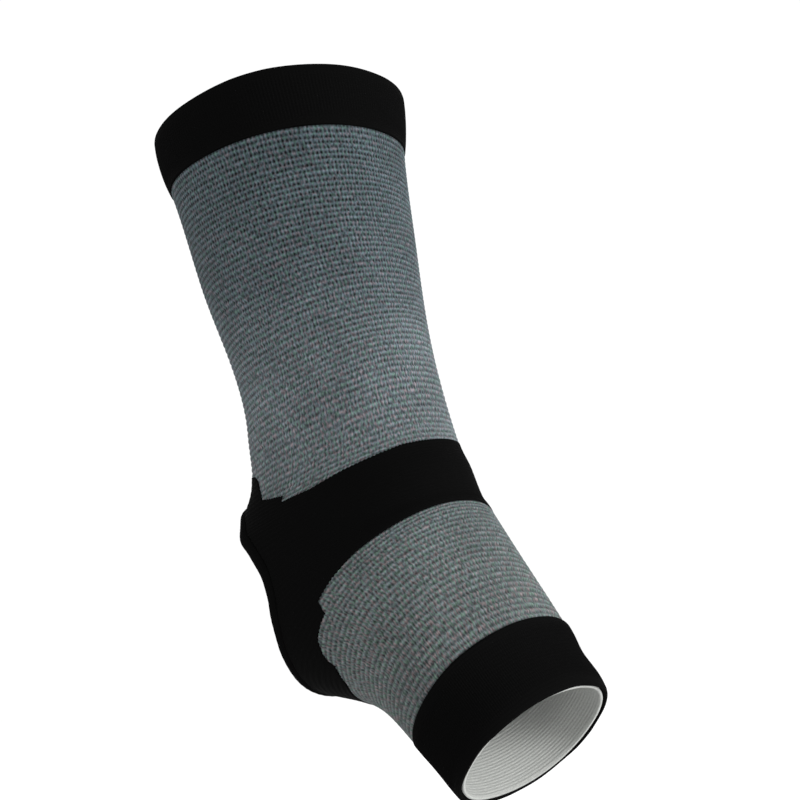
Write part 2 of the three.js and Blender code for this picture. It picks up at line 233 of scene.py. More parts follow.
rates = np.diff(form, axis=0) / steps[:, None]
slopes = np.empty_like(form)
slopes[1:-1] = rates[:-1] * steps[1:, None] + rates[1:] * steps[:-1, None]
slopes[1:-1] /= (steps[1:] + steps[:-1])[:, None]
slopes[0] = (3 * rates[0] - slopes[1]) / 2
slopes[-1] = (3 * rates[-1] - slopes[-2]) / 2


def form_at(station):
    """The section at any station, on a smooth cubic through all of them."""
    i = np.clip(np.searchsorted(stations, station, side="right") - 1, 0, len(steps) - 1)
    u = np.clip((station - stations[i]) / steps[i], 0, 1)[..., None]
    to_start = 2 * u**3 - 3 * u**2 + 1
    turn_start = steps[i][..., None] * (u**3 - 2 * u**2 + u) * slopes[i]
    turn_end = steps[i][..., None] * (u**3 - u**2) * slopes[i + 1]
    return to_start * form[i] + (1 - to_start) * form[i + 1] + turn_start + turn_end


def form_point(station, around):
    """A point of the form. Around is in degrees: 0 at the front, 90 at the right side, 180 at the back."""
    station, around = np.broadcast_arrays(np.asarray(station, float), np.asarray(around, float))
    values = form_at(station)
    cos, sin = np.cos(np.radians(around)), np.sin(np.radians(around))
    reach = (np.abs(cos)**SECTION_POWER + np.abs(sin)**SECTION_POWER)**(1 / SECTION_POWER)
    forward = (0.5 + 0.5 * cos / reach)[..., None]
    xz = values[..., 2:4] + (values[..., 0:2] - values[..., 2:4]) * forward
    return np.stack([xz[..., 0], -values[..., 4] * sin / reach, xz[..., 1]], axis=-1)


def form_frame(station, around):
    """The way the form runs at a place: per metre of station, per degree around, and square out of it."""
    probe_down, probe_around = 0.00025, 0.25
    low = np.maximum(station - probe_down, 0)
    high = np.minimum(station + probe_down, TOE_RIM)
    down = (form_point(high, around) - form_point(low, around)) / (high - low)[..., None]
    across = (form_point(station, around + probe_around) - form_point(station, around - probe_around))
    across = across / (2 * probe_around)
    out = np.cross(across, down)
    return down, across, out / np.linalg.norm(out, axis=-1, keepdims=True)


def wall_point(station, around, offset):
    """A point a given distance out from the form."""
    station, around, offset = np.broadcast_arrays(*(np.asarray(v, float) for v in (station, around, offset)))
    return form_point(station, around) + form_frame(station, around)[2] * offset[..., None]


UV_MAP = "knit"


def wrapped_grid(bm, points, uvs):
    """Adds a grid to the bmesh, moves its vertices to the points and gives its corners their UVs.
    Points and UVs are arrays that run over the grid's columns and then its rows."""
    columns, rows = points.shape[0] - 1, points.shape[1] - 1
    uv_layer = bm.loops.layers.uv.get(UV_MAP) or bm.loops.layers.uv.new(UV_MAP)
    made = bmesh.ops.create_grid(bm, x_segments=columns, y_segments=rows, size=0.5)["verts"]
    for vert in made:
        i = round((vert.co.x + 0.5) * columns)
        j = round((vert.co.y + 0.5) * rows)
        for loop in vert.link_loops:
            loop[uv_layer].uv = uvs[i, j]
        vert.co = points[i, j]


def weld(bm, distance=2e-6):
    """Merges the doubled vertices where grids meet, drops edges of no length and points the faces out."""
    bmesh.ops.remove_doubles(bm, verts=bm.verts, dist=distance)
    bmesh.ops.dissolve_degenerate(bm, dist=distance / 2, edges=bm.edges)
    bmesh.ops.recalc_face_normals(bm, faces=bm.faces)


def ripple(around, station, seed, turns, length):
    """A smooth random wave of height about 1 over the cloth: turns is its rough count round the brace,
    and length its rough length down it."""
    rng = np.random.default_rng(seed)
    total = 0
    for _ in range(5):
        n = rng.integers(max(1, turns // 2), turns + 2)
        k = 2 * math.pi / length * rng.uniform(0.6, 1.4)
        phase, lean = rng.uniform(0, 2 * math.pi, 2)
        total = total + np.sin(np.radians(around) * n + phase) * np.sin(station * k + lean)
    return total / 2.2


def rim_fold(count):
    """Shares of the way through a wall and over its fold, for the points between its two sides."""
    turn = np.pi * np.arange(1, count) / count
    return (1 - np.cos(turn)) / 2, 1 - np.sin(turn)


CUFF_PROUD = 0.0004
CUFF_WALL = 0.0019
CUFF_RIM = 0.0010
CUFF_HEM_ROUND = 0.0004
CUFF_RIB = 0.00012
CUFF_RIBS = 240
CUFF_ROWS = 34
CUFF_INSIDE_ROWS = 6
SEAM_GAP = 0.00005
COURSE_PITCH = 0.0012
CUFF_WOBBLE = 0.00025
TOP_SWELL = (0.0006, 0.0018, 0.0)


def cuff_swell(share, around, bulge, draw, wave):
    """How far a cuff stands out from its plain form. Share runs from its rim to its hem: it bulges
    between them, draws in at the back of its rim and out at the front, and waves a little."""
    gather = draw * (0.3 - 0.7 * np.cos(np.radians(around))) * (1 - share)**2
    folds = wave * np.cos(2.4 * np.pi * (1 - share)) * (0.5 + 0.5 * np.cos(np.radians(around)))
    return bulge * np.sin(np.pi * share) - gather + folds


def cuff_mesh(rim, hem, swell):
    """A doubled cuff between two stations: ribbed outside, with a round rim and a nearly flat hem."""
    columns = CUFF_RIBS * 4
    around = 180 + 360 * np.arange(columns + 1) / columns
    rib = CUFF_RIB * np.cos(2 * np.pi * np.arange(columns + 1) / 4)
    way = 1 if hem > rim else -1
    rim_inside, hem_inside = rim + way * CUFF_RIM, hem - way * CUFF_HEM_ROUND
    loops = []
    for t in np.linspace(0, 1, CUFF_ROWS + 1):
        fade = min(1, 6 * t, 6 * (1 - t))
        loops.append((rim_inside + t * (hem_inside - rim_inside), CUFF_PROUD + rib * fade))
    through, over = rim_fold(6)
    for share, cut in zip(through, over):
        loops.append((hem - way * CUFF_HEM_ROUND * cut, CUFF_PROUD - CUFF_WALL * share))
    for t in np.linspace(1, 0, CUFF_INSIDE_ROWS + 1):
        loops.append((rim_inside + t * (hem_inside - rim_inside), CUFF_PROUD - CUFF_WALL))
    for share, cut in zip(through, over):
        loops.append((rim + way * CUFF_RIM * cut, CUFF_PROUD - CUFF_WALL * (1 - share)))
    loops.append(loops[0])
    station = np.array([np.broadcast_to(s, columns + 1) for s, _ in loops]).T
    offset = np.array([np.broadcast_to(o, columns + 1) for _, o in loops]).T
    wide = np.broadcast_to(around[:, None], station.shape)
    offset = offset + cuff_swell((station - rim) / (hem - rim), wide, *swell)
    uvs = np.stack([(wide - 180) / 360 * CUFF_RIBS, station / COURSE_PITCH], axis=-1)
    station = station + CUFF_WOBBLE * ripple(wide, station, 3, 9, 0.03)
    bm = bmesh.new()
    wrapped_grid(bm, wall_point(np.clip(station, 0, TOE_RIM), wide, offset), uvs)
    weld(bm)
    return bm


BLACK_YARN = "080808"
# The scale at which a wave texture has one band for each unit of the UV map. The maps count
# stitches around and rows down, so that every pattern keeps to the size of the real stitches.
ONE_BAND = math.pi / 10

# Black nylon and elastic knit: so dark that it shows little but a faint sheen on its ribs
black_rib_knit, tree, output = new_material("black_rib_knit")
uv = add_node(tree, "ShaderNodeUVMap", {"uv_map": UV_MAP})
courses = add_node(
    tree, "ShaderNodeTexWave",
    {"bands_direction": "Y", "Scale": ONE_BAND, "Distortion": 1.0, "Detail": 1.0, "Detail Scale": 2.0},
    {"Vector": uv.outputs[0]},
)
fuzz = add_node(tree, "ShaderNodeTexNoise", {"Scale": 3.0, "Detail": 3.0}, {"Vector": uv.outputs[0]})
height = add_node(
    tree, "ShaderNodeMath", {"operation": "MULTIPLY_ADD", 1: 0.6},
    {0: fuzz.outputs["Fac"], 2: courses.outputs["Fac"]},
)
bump = add_node(tree, "ShaderNodeBump", {"Strength": 0.5, "Distance": 0.0002}, {"Height": height.outputs[0]})
shader = add_node(
    tree, "ShaderNodeBsdfPrincipled",
    {"Base Color": linear(BLACK_YARN), "Roughness": 0.9, "Specular IOR Level": 0.01},
    {"Normal": bump.outputs[0]},
)
tree.links.new(shader.outputs[0], output.inputs["Surface"])

top_cuff = add_object("top_cuff_knit", cuff_mesh(0.0, CUFF_HEM - SEAM_GAP, TOP_SWELL), black_rib_knit)
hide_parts("top_cuff")
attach(top_cuff, "root")


# Leg sleeve
# The long upper tube: grey heather yarn knitted in the round with an elastic thread, which draws
# each row up into a rib. It ends in steps at the sides, where short rows make the knit bend.
KNIT_WALL = 0.0016
ROW_PITCH = 0.0022
ROW_FACETS = 4
GROOVE_DEPTH = 0.00032
STITCH_DEPTH = 0.00016
STITCHES_AROUND = 180
SERRATION = 0.00055
COLUMNS = 2 * STITCHES_AROUND
INSIDE_ROWS = 10
SPARE_ROWS = 14
ROW_WOBBLE = 0.00030
STITCH_DRIFT = 0.25
WOBBLE_START = 0.004
FOLD_HEIGHT = 0.0013
FOLD_AROUND = 142
FOLD_SPREAD = 28
FOLD_REACH = 0.008

# Edges of the black band. Along is a share of the way from the section that carries the band's
# upper edge at the front to the one that carries its lower edge there.
BAND_TOP = [
    {"around": 0, "along": 0},
    {"around": 30, "along": 0},
    {"around": 60, "along": 0.06},
    {"around": 75, "along": 0.105},
    {"around": 90, "along": 0.09},
    {"around": 92, "along": 0.085},
    {"around": 93, "along": 0.037},
    {"around": 111.5, "along": -0.028},
    {"around": 113, "along": -0.06},
    {"around": 118, "along": -0.13},
    {"around": 121.5, "along": -0.19},
    {"around": 127, "along": -0.235},
    {"around": 150, "along": -0.3},
    {"around": 180, "along": -0.32},
]
# The line that this tube's last rows run along, if none were left out at the sides
LEG_ROW_LINE = [
    {"around": 0, "along": 0},
    {"around": 30, "along": 0},
    {"around": 60, "along": 0.035},
    {"around": 90, "along": 0.06},
    {"around": 120, "along": 0.055},
    {"around": 150, "along": 0.035},
    {"around": 180, "along": 0.03},
]


def edge_station(table, around):
    """The station of an edge at any angle, straight between the rows of its table."""
    folded = np.abs((np.asarray(around, float) + 540) % 360 - 180)
    along = np.interp(folded, [row["around"] for row in table], [row["along"] for row in table])
    return BAND_START + along * (BAND_END - BAND_START)


def tooth(around):
    """The small step that each stitch makes along an edge between grey and black."""
    return SERRATION * (np.round(np.asarray(around, float)) % 2 - 0.5)


def band_top(around):
    return edge_station(BAND_TOP, around) + tooth(around)


def leg_row_line(around):
    """The line of the leg tube's last rows, with the corners of its table rounded off."""
    return np.mean([edge_station(LEG_ROW_LINE, around + d) for d in (-6, -4, -2, 0, 2, 4, 6)], axis=0)


def heel_fold(station, around):
    """How far the cloth, grey and black, stands out in the soft fold at the heel window's top corners."""
    folded = np.abs((around + 540) % 360 - 180)
    sideways, lengthways = (folded - FOLD_AROUND) / FOLD_SPREAD, (station - BAND_START) / FOLD_REACH
    return FOLD_HEIGHT * np.exp(-sideways**2 - lengthways**2)


def knit_tube(top_line, bottom_line, top_edge, bottom_edge, seed):
    """A ribbed tube whose rows run from one line to the other, cut off at the two edges."""
    around = 180 + 360 * np.arange(COLUMNS + 1) / COLUMNS
    start, end = top_line(around), bottom_line(around)
    count = round(float(np.median(end - start)) / ROW_PITCH)
    facets = count * ROW_FACETS
    share = np.arange(-ROW_FACETS * SPARE_ROWS, facets + ROW_FACETS * SPARE_ROWS + 1) / facets
    rows = share * count
    wide = np.broadcast_to(around[:, None], (len(around), len(share)))
    station = start[:, None] + share[None, :] * (end - start)[:, None]
    low, high = top_edge(around)[:, None], bottom_edge(around)[:, None]
    used = ((station > low) & (station < high)).any(axis=0)
    first, last = np.flatnonzero(used)[[0, -1]]
    keep = slice(max(first - 1, 0), last + 2)
    station, rows, wide = station[:, keep], rows[keep], wide[:, keep]
    # Each row is a rounded rib, and every other column dips a little, most in the grooves
    crest = 0.5 - 0.5 * np.cos(2 * np.pi * rows)
    bar = np.arange(COLUMNS + 1) % 2
    relief = -GROOVE_DEPTH * (1 - crest)[None, :] - STITCH_DEPTH * (1 - bar)[:, None] * (1.2 - crest)[None, :]
    # Rows wander a little lengthways and stitches sideways, but not at the tube's two ends
    wobble = ROW_WOBBLE * ripple(wide, station, seed, 7, 0.035)
    drift = STITCH_DRIFT * ripple(wide, station, seed + 1, 8, 0.05)
    inward = np.clip(np.minimum(station - low, high - station) / WOBBLE_START, 0, 1)
    cut = np.clip(station + wobble * inward, low, high)
    span = (high - low) * np.linspace(1, 0, INSIDE_ROWS + 1)[None, :]
    inside = low + span
    # The wall's section in order: outside, lower end, inside, upper end, and back to the start
    loops_station = [cut, high, high, inside, low, low, cut[:, :1]]
    one = np.ones((COLUMNS + 1, 1))
    v_cut = np.broadcast_to(rows[None, :], cut.shape)
    v_high = np.clip((high - start[:, None]) / (end - start)[:, None] * count, None, rows[-1])
    v_low = (low - start[:, None]) / (end - start)[:, None] * count
    clamped = (station >= high) | (station <= low)
    relief = np.where(clamped, -0.5 * GROOVE_DEPTH, relief)
    v_cut = np.clip(v_cut, v_low, v_high)
    offset = [
        relief, -0.25 * KNIT_WALL * one, -0.75 * KNIT_WALL * one, -KNIT_WALL * np.ones_like(inside),
        -0.75 * KNIT_WALL * one, -0.25 * KNIT_WALL * one, relief[:, :1],
    ]
    v = [v_cut, v_high, v_high, v_low + (v_high - v_low) * np.linspace(1, 0, INSIDE_ROWS + 1)[None, :],
         v_low, v_low, v_cut[:, :1]]
    station_all = np.concatenate(loops_station, axis=1)
    offset_all = np.concatenate(offset, axis=1) + heel_fold(station_all, around[:, None])
    v_all = np.concatenate(v, axis=1)
    wide_all = np.broadcast_to(around[:, None], station_all.shape)
    drift_all = np.zeros_like(station_all)
    drift_all[:, :drift.shape[1]] = drift * inward
    points = wall_point(np.clip(station_all, 0, TOE_RIM), wide_all + drift_all, offset_all)
    uvs = np.stack([(wide_all - 180) / 360 * STITCHES_AROUND, v_all], axis=-1)
    bm = bmesh.new()
    wrapped_grid(bm, points, uvs)
    weld(bm)
    return bm


# Grey heather polyester and elastane knit: mixed light and dark fibres, matt and slightly fuzzy,
# with painted shade in the grooves between the ribs and a painted shadow beside each stitch there, deepest
# near the top
grey_heather_knit, tree, output = new_material("grey_heather_knit")
uv = add_node(tree, "ShaderNodeUVMap", {"uv_map": UV_MAP})
place = add_node(tree, "ShaderNodeTexCoord")
rib = add_node(
    tree, "ShaderNodeTexWave", {"bands_direction": "Y", "Scale": ONE_BAND}, {"Vector": uv.outputs[0]}
)
bar = add_node(
    tree, "ShaderNodeTexWave",
    {"bands_direction": "X", "Scale": ONE_BAND, "Distortion": 0.6, "Detail": 1.0, "Detail Scale": 1.5},
    {"Vector": uv.outputs[0]},
)
groove = add_node(tree, "ShaderNodeMath", {"operation": "SUBTRACT", 0: 1.0}, {1: rib.outputs["Fac"]})
groove_wide = add_node(
    tree, "ShaderNodeMath", {"operation": "MULTIPLY_ADD", 1: 0.8, 2: 0.25}, {0: groove.outputs[0]}
)
gap = add_node(tree, "ShaderNodeMath", {"operation": "SUBTRACT", 0: 1.1}, {1: bar.outputs["Fac"]})
# Painted shadow: a dark spot in each groove beside every other stitch, where the gap between loops lies in
# shade
gap_shade_spot = add_node(
    tree, "ShaderNodeMath", {"operation": "MULTIPLY"}, {0: groove_wide.outputs[0], 1: gap.outputs[0]}
)
uneven = add_node(tree, "ShaderNodeTexNoise", {"Scale": 0.9, "Detail": 2.0}, {"Vector": uv.outputs[0]})
gap_shade_depth = add_node(
    tree, "ShaderNodeMapRange", {"From Min": 0.3, "From Max": 0.7, "To Min": 0.25, "To Max": 1.0},
    {"Value": uneven.outputs["Fac"]},
)
axes = add_node(tree, "ShaderNodeSeparateXYZ", {}, {0: place.outputs["Object"]})
# The painted shadow in the gaps is made deeper towards the top and fainter lower down
gap_shade_by_height = add_node(
    tree, "ShaderNodeMapRange", {"From Min": 0.02, "From Max": 0.125, "To Min": 0.62, "To Max": 1.25},
    {"Value": axes.outputs["Z"]},
)
gap_shade_height_scaled = add_node(
    tree, "ShaderNodeMath", {"operation": "MULTIPLY"}, {0: gap_shade_spot.outputs[0], 1: gap_shade_by_height.outputs[0]}
)
painted_gap_shade = add_node(
    tree, "ShaderNodeMath", {"operation": "MULTIPLY"}, {0: gap_shade_height_scaled.outputs[0], 1: gap_shade_depth.outputs[0]}
)
# Specks of mixed yarn, a little smaller than a stitch, and paler and darker patches about 22 mm across
PATCHES_PER_METRE = 45.0
tint_place = add_node(tree, "ShaderNodeMapping", {"Scale": (1.0, 0.65, 1.0)}, {"Vector": uv.outputs[0]})
tint_noise = add_node(
    tree, "ShaderNodeTexNoise", {"Scale": 1.6, "Detail": 2.0}, {"Vector": tint_place.outputs[0]}
)
tints = add_node(tree, "ShaderNodeValToRGB", {}, {"Fac": tint_noise.outputs["Fac"]})
tints.color_ramp.elements[0].position = 0.40
tints.color_ramp.elements[0].color = linear("475954")
tints.color_ramp.elements[1].position = 0.60
tints.color_ramp.elements[1].color = linear("5b565a")
tints.color_ramp.elements.new(0.50).color = linear("4c565e")
fibre = add_node(tree, "ShaderNodeTexNoise", {"Scale": 1.9, "Detail": 2.0}, {"Vector": tint_place.outputs[0]})
fibre_level = add_node(
    tree, "ShaderNodeMapRange", {"From Min": 0.3, "From Max": 0.7, "To Min": 0.4, "To Max": 1.8},
    {"Value": fibre.outputs["Fac"]},
)
patches = add_node(
    tree, "ShaderNodeTexNoise", {"Scale": PATCHES_PER_METRE, "Detail": 3.0, "Roughness": 0.6},
    {"Vector": place.outputs["Object"]},
)
patch_level = add_node(
    tree, "ShaderNodeMapRange", {"From Min": 0.3, "From Max": 0.7, "To Min": 0.84, "To Max": 1.16},
    {"Value": patches.outputs["Fac"]},
)
level = add_node(
    tree, "ShaderNodeMath", {"operation": "MULTIPLY"}, {0: fibre_level.outputs[0], 1: patch_level.outputs[0]}
)

# The painted shadow of the gaps, turned into a scale for the yarn's colour
shade = add_node(
    tree, "ShaderNodeMapRange", {"From Min": 0.0, "From Max": 1.0, "To Min": 1.1, "To Max": 0.05},
    {"Value": painted_gap_shade.outputs[0]},
)
# Painted shade: the grooves between the ribs are darkened
painted_groove_shade = add_node(
    tree, "ShaderNodeMapRange", {"From Min": 0.0, "From Max": 1.0, "To Min": 1.13, "To Max": 0.78},
    {"Value": groove.outputs[0]},
)
level_groove_shaded = add_node(
    tree, "ShaderNodeMath", {"operation": "MULTIPLY"}, {0: level.outputs[0], 1: painted_groove_shade.outputs[0]}
)
level_shaded = add_node(
    tree, "ShaderNodeMath", {"operation": "MULTIPLY"}, {0: level_groove_shaded.outputs[0], 1: shade.outputs[0]}
)

# Painted light and shade: the knit is painted darker and bluer towards the top, where light falls least, and
# palest just above the band, where it falls most. Each row is a height above the origin and what the yarn's
# colour is scaled by there.
HEIGHT_SHADE_SCALES = [
    {"height": -0.05, "scale": (0.965, 0.91, 0.84)},
    {"height": -0.02, "scale": (0.91, 0.885, 0.82)},
    {"height": 0.0, "scale": (0.91, 0.895, 0.845)},
    {"height": 0.03, "scale": (1.12, 1.085, 1.065)},
    {"height": 0.06, "scale": (1.065, 1.065, 1.055)},
    {"height": 0.085, "scale": (0.79, 0.82, 0.835)},
    {"height": 0.125, "scale": (0.655, 0.71, 0.725)},
]
SCALE_MAX = 1.2
lowest, highest = HEIGHT_SHADE_SCALES[0]["height"], HEIGHT_SHADE_SCALES[-1]["height"]
height_share = add_node(
    tree, "ShaderNodeMapRange", {"From Min": lowest, "From Max": highest}, {"Value": axes.outputs["Z"]}
)
# Painted light and shade by height, from the table above
painted_height_shade = add_node(tree, "ShaderNodeValToRGB", {}, {"Fac": height_share.outputs[0]})
marks = painted_height_shade.color_ramp.elements
for _ in HEIGHT_SHADE_SCALES[2:]:
    marks.new(0.5)
for mark, row in zip(marks, HEIGHT_SHADE_SCALES):
    mark.position = (row["height"] - lowest) / (highest - lowest)
    mark.color = (*[part / SCALE_MAX for part in row["scale"]], 1.0)
tints_shaded = add_node(
    tree, "ShaderNodeVectorMath", {"operation": "SCALE"},
    {0: tints.outputs["Color"], "Scale": level_shaded.outputs[0]},
)
tints_height_shaded = add_node(
    tree, "ShaderNodeVectorMath", {"operation": "MULTIPLY"},
    {0: tints_shaded.outputs[0], 1: painted_height_shade.outputs["Color"]},
)
yarn = add_node(
    tree, "ShaderNodeVectorMath", {"operation": "SCALE", "Scale": SCALE_MAX}, {0: tints_height_shaded.outputs[0]}
)
relief = add_node(
    tree, "ShaderNodeMath", {"operation": "MULTIPLY_ADD", 1: -0.8},
    {0: painted_gap_shade.outputs[0], 2: fibre.outputs["Fac"]},
)
bump = add_node(tree, "ShaderNodeBump", {"Strength": 0.6, "Distance": 0.0003}, {"Height": relief.outputs[0]})
shader = add_node(
    tree, "ShaderNodeBsdfPrincipled",
    {"Roughness": 0.95, "Specular IOR Level": 0.15, "Sheen Weight": 0.03, "Sheen Roughness": 0.5},
    {"Base Color": yarn.outputs[0], "Normal": bump.outputs[0]},
)
tree.links.new(shader.outputs[0], output.inputs["Surface"])

leg_mesh = knit_tube(
    lambda around: np.full_like(around, CUFF_HEM), leg_row_line,
    lambda around: np.full_like(around, CUFF_HEM + SEAM_GAP), lambda around: band_top(around) - SEAM_GAP, 11,
)
leg_sleeve = add_object("leg_sleeve_knit", leg_mesh, grey_heather_knit)
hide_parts("leg_sleeve")
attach(leg_sleeve, "root")


# Foot sleeve
# The short lower tube, knitted on from the black band in the same grey heather yarn.
# Its upper edge steps down at the sides and runs lowest underneath, beyond the heel window.
BAND_BOTTOM = [
    {"around": 0, "along": 1},
    {"around": 60, "along": 1},
    {"around": 75, "along": 1.035},
    {"around": 86, "along": 1.073},
    {"around": 89, "along": 1.168},
    {"around": 95, "along": 1.185},
    {"around": 103, "along": 1.222},
    {"around": 110, "along": 1.29},
    {"around": 113, "along": 1.33},
    {"around": 114.5, "along": 1.385},
    {"around": 119, "along": 1.42},
    {"around": 127.5, "along": 1.475},
    {"around": 150, "along": 1.515},
    {"around": 180, "along": 1.53},
]
FOOT_ROW_LINE = [
    {"around": 0, "along": 1},
    {"around": 60, "along": 1},
    {"around": 75, "along": 1.01},
    {"around": 90, "along": 1.045},
    {"around": 105, "along": 1.11},
    {"around": 120, "along": 1.2},
    {"around": 150, "along": 1.27},
    {"around": 180, "along": 1.29},
]


def band_bottom(around):
    return edge_station(BAND_BOTTOM, around) + tooth(around)


def foot_row_line(around):
    """The line of the foot tube's first rows, with the corners of its table rounded off."""
    return np.mean([edge_station(FOOT_ROW_LINE, around + d) for d in (-6, -4, -2, 0, 2, 4, 6)], axis=0)


foot_mesh = knit_tube(
    foot_row_line, lambda around: np.full_like(around, TOE_CUFF_START),
    lambda around: band_bottom(around) + SEAM_GAP,
    lambda around: np.full_like(around, TOE_CUFF_START - SEAM_GAP), 23,
)
foot_sleeve = add_object("foot_sleeve_knit", foot_mesh, grey_heather_knit)
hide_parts("foot_sleeve")
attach(foot_sleeve, "root")


# Toe cuff
# The welt at the toe end: the same doubled black knit as the top cuff, without its bulge and its
# draw at the rim. It waves a little instead, most at the front.
TOE_SWELL = (0.0, 0.0, 0.0005)
toe_cuff_shape = cuff_mesh(TOE_RIM, TOE_CUFF_START + SEAM_GAP, TOE_SWELL)
toe_cuff = add_object("toe_cuff_knit", toe_cuff_shape, black_rib_knit)
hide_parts("toe_cuff")
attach(toe_cuff, "root")


# Cuff facings
# The inner layers of the two welts: a plain pale grey knit with elastic in it, for grip.
FACING_GAP = 0.0003
FACING_WALL = 0.0010
FACING_INSET = 0.0004
FACING_ROWS = 24

# Pale grey elastic knit: close, matt and even
pale_grey_knit, tree, output = new_material("pale_grey_knit")
uv = add_node(tree, "ShaderNodeUVMap", {"uv_map": UV_MAP})
courses = add_node(
    tree, "ShaderNodeTexWave", {"bands_direction": "Y", "Scale": ONE_BAND}, {"Vector": uv.outputs[0]}
)
fuzz = add_node(tree, "ShaderNodeTexNoise", {"Scale": 2.0, "Detail": 3.0}, {"Vector": uv.outputs[0]})
height = add_node(
    tree, "ShaderNodeMath", {"operation": "ADD"}, {0: fuzz.outputs["Fac"], 1: courses.outputs["Fac"]}
)
tints = add_node(tree, "ShaderNodeValToRGB", {}, {"Fac": fuzz.outputs["Fac"]})
tints.color_ramp.elements[0].color = linear("767977")
tints.color_ramp.elements[1].color = linear("bcbdb9")
bump = add_node(tree, "ShaderNodeBump", {"Strength": 0.5, "Distance": 0.0002}, {"Height": height.outputs[0]})
shader = add_node(
    tree, "ShaderNodeBsdfPrincipled",
    {"Roughness": 0.95, "Specular IOR Level": 0.15, "Sheen Weight": 0.15, "Sheen Roughness": 0.5},
    {"Base Color": tints.outputs["Color"], "Normal": bump.outputs[0]},
)
tree.links.new(shader.outputs[0], output.inputs["Surface"])


def facing_mesh(rim, hem, swell):
    """A thin closed tube just inside a cuff, which stands out and in with it."""
    outside = CUFF_PROUD - CUFF_WALL - FACING_GAP
    around = 180 + 360 * np.arange(COLUMNS + 1) / COLUMNS
    way = 1 if hem > rim else -1
    down = np.linspace(rim + way * FACING_INSET, hem - way * FACING_GAP, FACING_ROWS + 1)
    station = np.concatenate([down, down[::-1], down[:1]])
    offset = np.concatenate([
        np.full(FACING_ROWS + 1, outside), np.full(FACING_ROWS + 1, outside - FACING_WALL), [outside],
    ])
    wide, station = np.broadcast_arrays(around[:, None], station[None, :])
    offset = offset[None, :] + cuff_swell((station - rim) / (hem - rim), wide, *swell)
    uvs = np.stack([(wide - 180) / 360 * STITCHES_AROUND, station / COURSE_PITCH], axis=-1)
    bm = bmesh.new()
    wrapped_grid(bm, wall_point(station, wide, offset), uvs)
    weld(bm)
    return bm


top_facing = add_object("top_cuff_lining", facing_mesh(0.0, CUFF_HEM, TOP_SWELL), pale_grey_knit)
toe_facing = add_object("toe_cuff_lining", facing_mesh(TOE_RIM, TOE_CUFF_START, TOE_SWELL), pale_grey_knit)
for facing, node in ((top_facing, "top_cuff_facing"), (toe_facing, "toe_cuff_facing")):
    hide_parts(node)
    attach(facing, "root")


# Heel opening hem
# The edge of the heel window, rolled over and stitched down: a soft oval roll of black knit.
HEM_WIDTH = 0.0045
HEM_THICKNESS = 0.0030
HEM_STEPS = 360
HEM_SIDES = 24
HEM_PUCKERS = 90
HEM_PUCKER = 0.03
HEM_STITCHES = 200
BAND_PROUD = 0.0002
MAP_SCALE = 0.00065
OPENING_EDGE = [
    {"around": 180, "along": -0.12},
    {"around": 152, "along": -0.07},
    {"around": 132, "along": 0.03},
    {"around": 116, "along": 0.15},
    {"around": 104, "along": 0.29},
    {"around": 96, "along": 0.435},
    {"around": 92, "along": 0.6},
    {"around": 96, "along": 0.755},
    {"around": 105, "along": 0.88},
    {"around": 117, "along": 1},
    {"around": 131, "along": 1.1},
    {"around": 150, "along": 1.16},
    {"around": 180, "along": 1.18},
]

# The edge as a closed smooth curve on a map in metres: across is around times a scale
half = np.array([[row["around"] * MAP_SCALE, edge_station([{"around": 0, "along": row["along"]}], 0)]
                 for row in OPENING_EDGE])
other = half[-2:0:-1] * [-1, 1] + [360 * MAP_SCALE, 0]
knots = np.concatenate([half, other])
knots = np.concatenate([knots[-2:], knots, knots[:3]])
chords = np.sqrt(np.linalg.norm(np.diff(knots, axis=0), axis=1))
knot_rates = np.diff(knots, axis=0) / chords[:, None]
knot_slopes = (knot_rates[:-1] * chords[1:, None] + knot_rates[1:] * chords[:-1, None]) / (
    chords[1:] + chords[:-1])[:, None]
curve_points = []
for i in range(2, len(knots) - 3):
    u = np.linspace(0, 1, 60, endpoint=False)[:, None]
    a, b, h = knots[i], knots[i + 1], chords[i]
    to_start = 2 * u**3 - 3 * u**2 + 1
    curve_points.append(
        to_start * a + (1 - to_start) * b + h * (u**3 - 2 * u**2 + u) * knot_slopes[i - 1]
        + h * (u**3 - u**2) * knot_slopes[i]
    )
curve_points = np.concatenate([*curve_points, knots[2:3]])
curve_shares = np.concatenate([[0], np.cumsum(np.linalg.norm(np.diff(curve_points, axis=0), axis=1))])
curve_shares /= curve_shares[-1]


def opening_map(share):
    """The place on the map at a share of the way round the opening."""
    share = np.asarray(share, float) % 1
    return np.stack([np.interp(share, curve_shares, curve_points[:, k]) for k in (0, 1)], axis=-1)


def beside_opening(share, distance):
    """Station and around of places a given distance away from the opening's edge."""
    probe = 0.002
    here, before, after = (opening_map(share + d) for d in (0, -probe, probe))
    station, around = here[..., 1], here[..., 0] / MAP_SCALE
    down, across, out = form_frame(station, around)
    step = after - before
    along = across * (step[..., :1] / MAP_SCALE) + down * step[..., 1:]
    away = np.cross(out, along)
    away = away / np.linalg.norm(away, axis=-1, keepdims=True)
    # The step away is split into a share down and a share across, which aren't quite square
    dd, da, aa = (np.sum(p * q, axis=-1) for p, q in ((down, down), (down, across), (across, across)))
    to_down, to_across = np.sum(away * down, axis=-1), np.sum(away * across, axis=-1)
    size = dd * aa - da * da
    return (
        station + distance * (to_down * aa - to_across * da) / size,
        around + distance * (to_across * dd - to_down * da) / size,
    )


